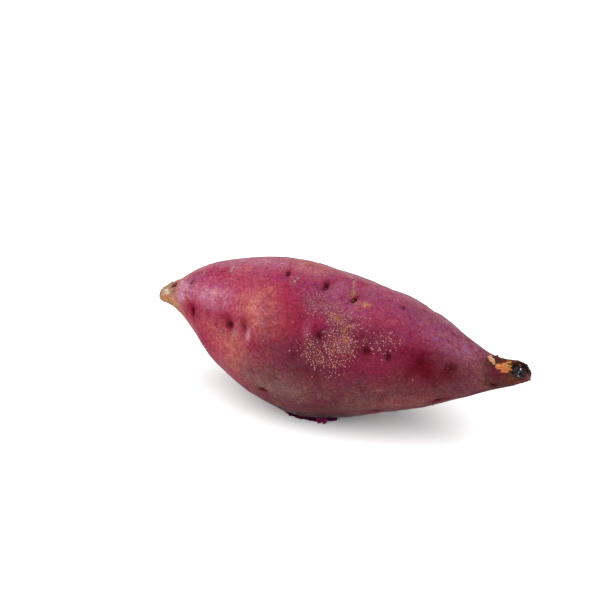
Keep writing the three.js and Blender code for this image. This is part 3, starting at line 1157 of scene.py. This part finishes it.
def set_crumbs(name, rows, material):
    """One piece of many crumbs. A row: spot, normal, length, width, height, turn and tone."""
    all_points, all_faces, tones = [], [], []
    for spot, normal, *size, turn, tone in rows:
        axes = np.array(axes_at(normal, turn))
        all_faces.append(crumb_faces + len(crumb_points) * len(tones))
        all_points.append(np.array(spot) + (crumb_points * size) @ axes)
        tones.append(tone)
    all_points = np.concatenate(all_points) * MM
    mesh = bpy.data.meshes.new(name)
    mesh.from_pydata(all_points.tolist(), [], np.concatenate(all_faces).tolist())
    keep_on_points("tone", np.repeat(tones, len(crumb_points)), mesh=mesh)
    piece = bpy.data.objects.new(name, mesh)
    bpy.context.scene.collection.objects.link(piece)
    mesh.materials.append(material)
    pick(piece)
    bpy.ops.object.shade_smooth()
    ride_on_root(piece)
    print(name + ":", len(rows), "crumbs,", len(mesh.polygons), "faces")


def sow(name, weights, count, apart, seed, material, shape):
    """Sets crumbs on random spots. The shape function gives each its sizes, turn and tone."""
    spots, spot_normals = scatter(weights, count, apart, seed)
    rows = [(spot, normal, *shape(spot)) for spot, normal in zip(spots, spot_normals)]
    set_crumbs(name, rows, material)


# %% Material of the crumbs
def toned_material(name, dark, light, rough, specular):
    """A material between two colours, by the tone stored on its points and a fine cloud."""
    made, shader = new_material(name)
    cloudy = times(cloud(in_space(), 0.5 * MM, 3.0, 0.7), 0.8)
    share = calc("ADD", attribute("tone"), calc("SUBTRACT", cloudy, 0.4), clamp=True)
    feed(shader, {
        "Base Color": blend(share, (*dark, 1), (*light, 1)),
        "Normal": bump_of(cloudy, 0.15 * MM),
        "Roughness": rough,
        "Specular IOR Level": specular,
    })
    return made


cork_crumbs = toned_material("cork_crumbs", (0.22, 0.08, 0.036), (0.28, 0.12, 0.14), 0.8, 0.1)
print("material of the crumbs:", cork_crumbs.name)

# %% Set the specks
SPECK_COUNT = 1500
SPECK_APART = 0.66
SPECK_SIZES = (0.19, 0.56)
SPECK_HEIGHT = 0.09


def speck_shape(_):
    size = SPECK_SIZES[0] + (SPECK_SIZES[1] - SPECK_SIZES[0]) * dice.random() ** 1.8
    turn = dice.uniform(0, math.pi)
    tone = 1 - dice.random() ** 2
    return size, size * dice.uniform(0.6, 1), SPECK_HEIGHT, turn, tone


dice = random.Random(7)
off_eyes = smoothstep(eye_far, 1.2, 2.4)
weights = speck_thick * off_eyes * on_skin
sow("golden_specks", weights, SPECK_COUNT, SPECK_APART, 12, cork_crumbs, speck_shape)

# %% Knobs of cork on the tail
TAIL_CRUMBS = 170


def knob_shape(_):
    size = dice.uniform(0.25, 0.6)
    thick = dice.uniform(0.10, 0.24)
    return size, 0.7 * size, thick, dice.uniform(0, 3), dice.random()


tail_cork = toned_material("tail_cork", (0.12, 0.055, 0.030), (0.36, 0.23, 0.16), 0.85, 0.15)
sow("tail_crumbs", cork_mask**2 * off_eyes, TAIL_CRUMBS, 0.5, 21, tail_cork, knob_shape)

# %% [markdown]
# ## Flecks, and the corky rims of the eyes
#
# A few crumbs stand alone: pale flecks where the skin is chipped, an amber scab beside the
# largest eye, and a broken rim of cream cork round that eye. They use the same crumb, each with
# its own length, width, turn and tone.

# %% Set the flecks
# Along, clock, half length, half width, height, turn in degrees, tone, how many, and how far
# they spread
FLECKS = [
    (68.8, 72, 0.8, 0.35, 0.2, 60, 1.0, 1, 0),
    (68.3, 78, 0.45, 0.25, 0.15, 60, 0.9, 1, 0),
    (61.6, 66, 0.35, 0.35, 0.2, 0, 1.0, 1, 0),
    (88.0, 103, 0.5, 0.45, 0.2, 0, 1.0, 1, 0),
    (89.6, 97, 0.3, 0.25, 0.12, 60, 0.8, 3, 0.5),
    (90.8, 91, 0.3, 0.25, 0.12, 60, 0.8, 4, 0.6),
    (81.2, 77, 0.75, 0.16, 0.10, 72, 0.6, 2, 0.1),
    (62.6, 79, 0.5, 0.2, 0.12, 70, 0.3, 2, 0.2),
    (38.2, 75, 0.4, 0.25, 0.12, 40, 1.0, 2, 0.3),
    (92.6, 82, 0.45, 0.3, 0.18, 70, 0.6, 6, 0.9),
    (93.2, 75, 0.4, 0.28, 0.2, 60, 0.7, 4, 0.8),
    (95.9, 69.5, 0.4, 0.25, 0.18, 10, 0.9, 5, 0.6),
    (95.4, 76, 0.35, 0.25, 0.15, 90, 0.6, 3, 0.5),
    (100.3, 70, 0.6, 0.5, 0.22, 30, 0.2, 6, 0.7),
    (94.5, 47, 0.55, 0.4, 0.2, 20, 0.1, 3, 0.7),
    (89.0, 51, 0.6, 0.45, 0.2, 20, 0.15, 4, 0.8),
    (96.6, 42, 0.5, 0.4, 0.2, 20, 0.0, 3, 0.8),
    (97.5, 36, 0.5, 0.4, 0.18, 70, 0.1, 3, 0.8),
    (95.0, 25, 0.5, 0.35, 0.18, 70, 0.1, 2, 0.8),
    (110.7, 78, 0.35, 0.3, 0.15, 0, 0.9, 1, 0),
    (124.1, 69, 0.5, 0.3, 0.15, 0, 0.8, 1, 0),
    (137.8, 23, 0.25, 0.2, 0.12, 0, 1.0, 1, 0),
    (115.5, 39, 0.5, 0.35, 0.18, 0, 0.5, 2, 0.5),
    (109.3, 28, 0.5, 0.3, 0.15, 50, 0.7, 2, 0.5),
    (36.9, 92, 0.7, 0.5, 0.3, 20, 1.0, 2, 0.4),
    (70, 150, 0.6, 0.35, 0.2, 40, 0.8, 3, 1.4),
    (46, 210, 0.5, 0.4, 0.2, 10, 0.3, 4, 1.2),
    (120, 190, 0.6, 0.4, 0.2, 70, 0.5, 3, 1.0),
]

rows = []
for fleck_along, fleck_clock, *sizes, turn, tone, count, spread in FLECKS:
    girth = radius[nearest(fleck_along, fleck_clock)]
    for _ in range(count):
        aside = math.degrees(dice.uniform(-spread, spread) / girth)
        spot = nearest(fleck_along + dice.uniform(-spread, spread), fleck_clock + aside)
        turned = math.radians(turn + dice.uniform(-25, 25))
        size = dice.uniform(0.8, 1.1)
        grown = (sizes[0] * size, sizes[1] * size, sizes[2])
        rows.append((points[spot], normals[spot], *grown, turned, tone))
set_crumbs("pale_flecks", rows, cork_crumbs)

# %% [markdown]
# ## The broken crown
#
# The vine has torn out of the crown and left a dark hollow with a frayed lip. Three shapes make
# that, each used more than once. A fibre is a path with a round section that thins to its ends:
# fibres fray the lip, strands stand in the hollow and two hairs arch over the patch. The crumb
# comes back as crust on the lip, damp lumps in the hollow and pale glossy beads that paint the wet
# glints in it. A flake is a small sheet of dead skin, frayed at its edge, curled, and given a
# thickness.

# %% A place in space, and a fibre
def place_at(place_along, place_clock, place_radius):
    """The point in space, in mm, at a distance along the root, a clock angle and a radius."""
    to_front = place_radius * math.cos(math.radians(place_clock))
    up = place_radius * math.sin(math.radians(place_clock))
    back = slant_back(place_along, up, to_front)
    step = (place_along - back, bow(place_along) - to_front, middle_height(place_along) + up)
    return Vector(root_start + step)


def tone_piece(piece, tone):
    tones = [tone + 0.7 * noise.noise(vertex.co / MM) for vertex in piece.data.vertices]
    keep_on_points("tone", tones, mesh=piece.data)


def fibre(path, thick, tone):
    """A tapering fibre through the given places, in mm, as a mesh."""
    bpy.ops.curve.primitive_nurbs_path_add(location=(0, 0, 0))
    made = bpy.context.object
    spline = made.data.splines[0]
    for place, point in enumerate(spline.points):
        share = place / (len(spline.points) - 1)
        step = share * (len(path) - 1)
        before = min(int(step), len(path) - 2)
        where = path[before].lerp(path[before + 1], step - before) * MM
        point.co = (*where, 1)
        point.radius = max(0.25, math.sin(math.pi * (0.12 + 0.8 * share)))
    made.data.bevel_depth = thick * MM
    made.data.bevel_resolution = 0
    made.data.resolution_u = 3
    bpy.ops.object.convert(target="MESH")
    tone_piece(made, tone)
    return made


def join_pieces(name, pieces, material):
    """Joins small pieces into one, with one material, that rides on the root."""
    bpy.ops.object.select_all(action="DESELECT")
    for piece in pieces:
        piece.select_set(True)
    bpy.context.view_layer.objects.active = pieces[0]
    bpy.ops.object.join()
    joined = bpy.context.object
    joined.name = name
    joined.data.materials.clear()
    joined.data.materials.append(material)
    bpy.ops.object.shade_smooth()
    bpy.ops.object.transform_apply(location=True, rotation=True, scale=True)
    ride_on_root(joined)
    print(name + ":", len(pieces), "parts,", len(joined.data.polygons), "faces")


# %% Fibres and crust along the lip
LIP_FIBRES = 150
LIP_RADIUS = 3.7
CRUST_CRUMBS = 420
TORN_TURNS = (2, 100)

lip_dark = toned_material("dry_vine", (0.022, 0.008, 0.006), (0.13, 0.036, 0.018), 0.8, 0.1)
pieces = []
for place in range(LIP_FIBRES):
    turn = 360 * (place + dice.uniform(-0.4, 0.4)) / LIP_FIBRES
    if TORN_TURNS[0] < turn < TORN_TURNS[1] and dice.random() < 0.7:
        continue
    upright = abs(math.sin(math.radians(turn - 20)))
    reach = dice.uniform(0.5, 1.6)
    out = dice.uniform(-0.3, 0.15)
    sway = dice.uniform(-18, 18)
    path = [
        place_at(LIP - 0.3 - reach, turn, LIP_RADIUS + 0.24 * reach - 0.1),
        place_at(LIP - 0.4 * reach, turn + 0.5 * sway, LIP_RADIUS + 0.1 * reach),
        place_at(LIP + out, turn + sway, LIP_RADIUS - 0.3),
    ]
    thick = dice.uniform(0.07, 0.17)
    pieces.append(fibre(path, thick, 0.1 + 0.4 * upright + dice.uniform(-0.2, 0.2)))
join_pieces("lip_fibres", pieces, lip_dark)

lip_thick = smoothstep(along, 161.0, 162.4) * (radius > LIP_EDGE)
lip_thick *= (clock < TORN_TURNS[0]) | (clock > TORN_TURNS[1])
lip_thick *= 1 - (np.sin(np.radians(clock)) > 0.3) * smoothstep(along, 162.3, 162.9)
behind_torn = smoothstep(clock, 98, 106) * (clock < 140) * (along < 162.6)
lip_thick += 0.7 * smoothstep(along, 158.5, 161) * behind_torn


def crust_shape(spot):
    lifted = spot[2] - (root_start[2] + middle_height(162))
    size = dice.uniform(0.12, 0.40)
    tone = 0.15 + 0.13 * abs(lifted) + dice.uniform(-0.25, 0.25)
    high = (0.7 + 0.25 * max(0, lifted)) * size
    return 1.3 * size, size, high, dice.uniform(0, 3), tone


sow("lip_crust", lip_thick, CRUST_CRUMBS, 0.22, 33, lip_dark, crust_shape)

# %% Wet strands and lumps in the hollow
STRANDS = 14
LUMPS = 260
HOLLOW_WIDE = 3.1

wet_dark = toned_material("wet_pith", (0.008, 0.005, 0.006), (0.060, 0.040, 0.046), 0.3, 0.35)
pieces = []
for _ in range(STRANDS):
    turn = dice.uniform(0, 360)
    deep = dice.uniform(157.0, 158.5)
    top = dice.uniform(159.5, 162.0)
    sway = dice.uniform(-40, 40)
    path = [
        place_at(deep, turn, 1.9),
        place_at((deep + top) / 2, turn + 0.5 * sway, 2.5),
        place_at(top, turn + sway, dice.uniform(2.4, 3.1)),
    ]
    thick = dice.uniform(0.12, 0.28)
    pieces.append(fibre(path, thick, dice.uniform(0.0, 0.6)))
join_pieces("hollow_strands", pieces, wet_dark)

to_mouth = (place_at(LIP, 0, 0) - place_at(156, 0, 0)).normalized()
rows = []
for _ in range(LUMPS):
    turn = dice.uniform(-215, 10)
    out = HOLLOW_WIDE * math.sqrt(dice.random())
    where = place_at(159.4 + 0.7 * out + dice.uniform(-0.8, 0.6), turn, out)
    shaken = (dice.uniform(-0.6, 0.6), dice.uniform(-0.6, 0.6), dice.uniform(-0.4, 0.6))
    size = dice.uniform(0.2, 0.5)
    long = size * dice.uniform(1.2, 3)
    sizes = (long, 0.8 * size, 1.4 * size)
    turned = dice.uniform(0, 3)
    rows.append((where, to_mouth + Vector(shaken), *sizes, turned, dice.random() ** 1.5))
set_crumbs("hollow_lumps", rows, wet_dark)
# Painted highlights: pale glossy beads that stand in for the wet glints in the hollow
glint_material = toned_material("white_glint", (0.70, 0.66, 0.68), (0.80, 0.78, 0.80), 0.15, 0.9)
rows = [
    (place_at(161.8, 170, 1.8), to_mouth, 0.46, 0.36, 0.5, 0.4, 0.3),
    (place_at(161.4, -150, 1.0), to_mouth, 0.34, 0.16, 0.4, 1.4, 0.2),
    (place_at(161.6, -80, 1.6), to_mouth, 0.30, 0.12, 0.4, 2.0, 0.1),
]
set_crumbs("glint_beads", rows, glint_material)


# %% A flake of skin
FLAKE_THICK = 0.14


def thicken(piece, thick, tone):
    """Gives a sheet its thickness in mm, and then its tone."""
    sheet = piece.modifiers.new("thickness", "SOLIDIFY")
    sheet.thickness = thick * MM
    apply_modifiers(piece)
    tone_piece(piece, tone)
    return piece


def flake(place_along, place_clock, lift, long, wide, curl, turn, tone, seed):
    """A frayed, curled sheet on the skin, lifted off it by lift mm."""
    shake = random.Random(seed)
    bpy.ops.mesh.primitive_grid_add(x_subdivisions=8, y_subdivisions=4, size=1)
    made = bpy.context.object
    bpy.ops.object.mode_set(mode="EDIT")
    bpy.ops.mesh.select_all(action="SELECT")
    bpy.ops.transform.vertex_random(offset=0.09, seed=seed)
    bpy.ops.object.mode_set(mode="OBJECT")
    spot = nearest(place_along, place_clock)
    axes = axes_at(normals[spot], math.radians(turn))
    frayed = [shake.uniform(0.55, 1.15) for _ in range(9)]
    for vertex in made.data.vertices:
        x, y, z = vertex.co
        end = round((x + 0.5) * 8) % 9
        side = y * wide * (1 - 1.6 * x * x) * frayed[end]
        rise = lift + curl * (2 * x) ** 2 + 0.8 * curl * (2 * y) ** 2 + z
        step = axes[0] * x * long + axes[1] * side + axes[2] * rise
        vertex.co = (Vector(points[spot]) + step) * MM
    return thicken(made, FLAKE_THICK, tone)


# %% Flakes beside the torn patch
# Place along and clock, lift, length, width, curl, turn in degrees, tone
PALE_FLAKES = [
    (155.1, 75, 0.25, 3.5, 2.3, 0.30, -45, 0.6),
    (156.6, 66, 0.20, 2.6, 1.4, 0.25, -60, 0.8),
    (158.6, 50, 0.10, 1.8, 0.8, 0.12, -20, 0.6),
    (161.0, 60, 0.10, 2.2, 0.6, 0.10, 20, 0.2),
    (161.4, 42, 0.10, 2.4, 0.5, 0.10, -4, 0.1),
]
BROWN_FLAKES = [
    (154.6, 107, 0.10, 1.3, 1.0, 0.4, 60, 0.5),
    (155.0, 101, 0.15, 1.3, 0.9, 0.4, 30, 0.7),
    (156.4, 94, 0.20, 1.4, 0.6, 0.3, 10, 0.4),
]
RED_SCRAPS = [
    (158.6, -66, 0.05, 1.2, 0.7, 0.15, 20, 0.3),
    (159.8, -70, 0.05, 1.1, 0.7, 0.15, 60, 0.6),
    (160.8, -68, 0.05, 0.9, 0.6, 0.10, 0, 0.2),
    (131.2, -57, 0.1, 0.9, 0.5, 0.2, 70, 0.5),
]
torn_flesh = toned_material("torn_flesh", (0.28, 0.10, 0.035), (0.34, 0.19, 0.115), 0.7, 0.1)
red_skin = toned_material("red_scraps", (0.06, 0.002, 0.012), (0.18, 0.008, 0.035), 0.5, 0.3)


def set_flakes(name, rows, material):
    join_pieces(name, [flake(*row, seed) for seed, row in enumerate(rows)], material)


set_flakes("pale_flakes", PALE_FLAKES, torn_flesh)
set_flakes("brown_flakes", BROWN_FLAKES, lip_dark)
set_flakes("red_scraps", RED_SCRAPS, red_skin)

# %% Hairs of dried fibre
# Each place of a hair is along, clock and how far it stands off the skin
HAIRS = [
    [(156.2, 108, 0.0), (157.4, 110, 1.0), (158.8, 110, 0.9), (160.4, 106, 0.1)],
    [(156.4, 104, 0.0), (157.4, 108, 0.7), (158.6, 112, 0.6)],
]
HAIR_THICK = 0.06
HAIR_TONE = 0.6


def above(hair_along, hair_clock, lift):
    spot = nearest(hair_along, hair_clock)
    return Vector(points[spot] + lift * normals[spot])


dry_hair = toned_material("dry_hair", (0.18, 0.11, 0.07), (0.40, 0.30, 0.22), 0.7, 0.2)
pieces = [fibre([above(*stand) for stand in hair], HAIR_THICK, HAIR_TONE) for hair in HAIRS]
join_pieces("crown_hairs", pieces, dry_hair)

# %% [markdown]
# ## Where the root lies
#
# Where the belly meets the floor, skin has rubbed off in a ragged strip, stained a deep purple,
# with one brighter tab; its near-black tones also paint the shade where the root meets the floor.
# Each scrap is a small grid, narrowed and frayed by a smooth random value, that rises towards the
# root, and the scraps overlap as one strip.

# %% The strip under the belly
# Middle along X and Y, length, width, turn in degrees, lift and tone
SCRAPS = [
    (-22.0, -8.1, 5.5, 2.4, -42, 0.1, 0.0),
    (-18.8, -10.3, 6.5, 3.2, -34, 0.1, 0.0),
    (-14.6, -12.1, 7.5, 4.2, -18, 0.1, 0.05),
    (-10.2, -12.7, 7.5, 4.4, 0, 0.1, 0.1),
    (-5.8, -12.3, 6.5, 4.2, 6, 0.1, 0.1),
    (-1.1, -12.9, 4.4, 3.8, 6, 0.3, 0.8),
    (1.8, -9.4, 4.8, 2.6, 34, 0.2, 0.1),
]
SCRAP_THICK = 0.2
LOWEST = 0.22

pieces = []
for seed, (middle, front, long, wide, turn, lift, tone) in enumerate(SCRAPS):
    bpy.ops.mesh.primitive_grid_add(x_subdivisions=12, y_subdivisions=5, size=1)
    scrap = bpy.context.object
    turned = Matrix.Rotation(math.radians(turn), 3, "Z")
    for vertex in scrap.data.vertices:
        x, y, z = vertex.co
        frayed = 0.75 + 0.6 * noise.noise(Vector((7 * x, 3 * y, 4 + seed)))
        rise = lift + 0.5 * noise.noise(Vector((5 * x, 5 * y, 9 + seed))) + 1.4 * (y + 0.5)
        flat = turned @ Vector((long * x, wide * y * (1 - 2.2 * x * x) * frayed, 0))
        vertex.co = Vector((middle + flat.x, front + flat.y, max(LOWEST, rise))) * MM
    pieces.append(thicken(scrap, SCRAP_THICK, tone))
# Dark tones: the scrap's own purple and painted contact shade
scrap_and_shade_colours = (0.022, 0.0005, 0.008), (0.14, 0.010, 0.045)
purple_skin = toned_material("stained_scrap_and_shade", *scrap_and_shade_colours, 0.6, 0.05)
join_pieces("belly_scrap", pieces, purple_skin)
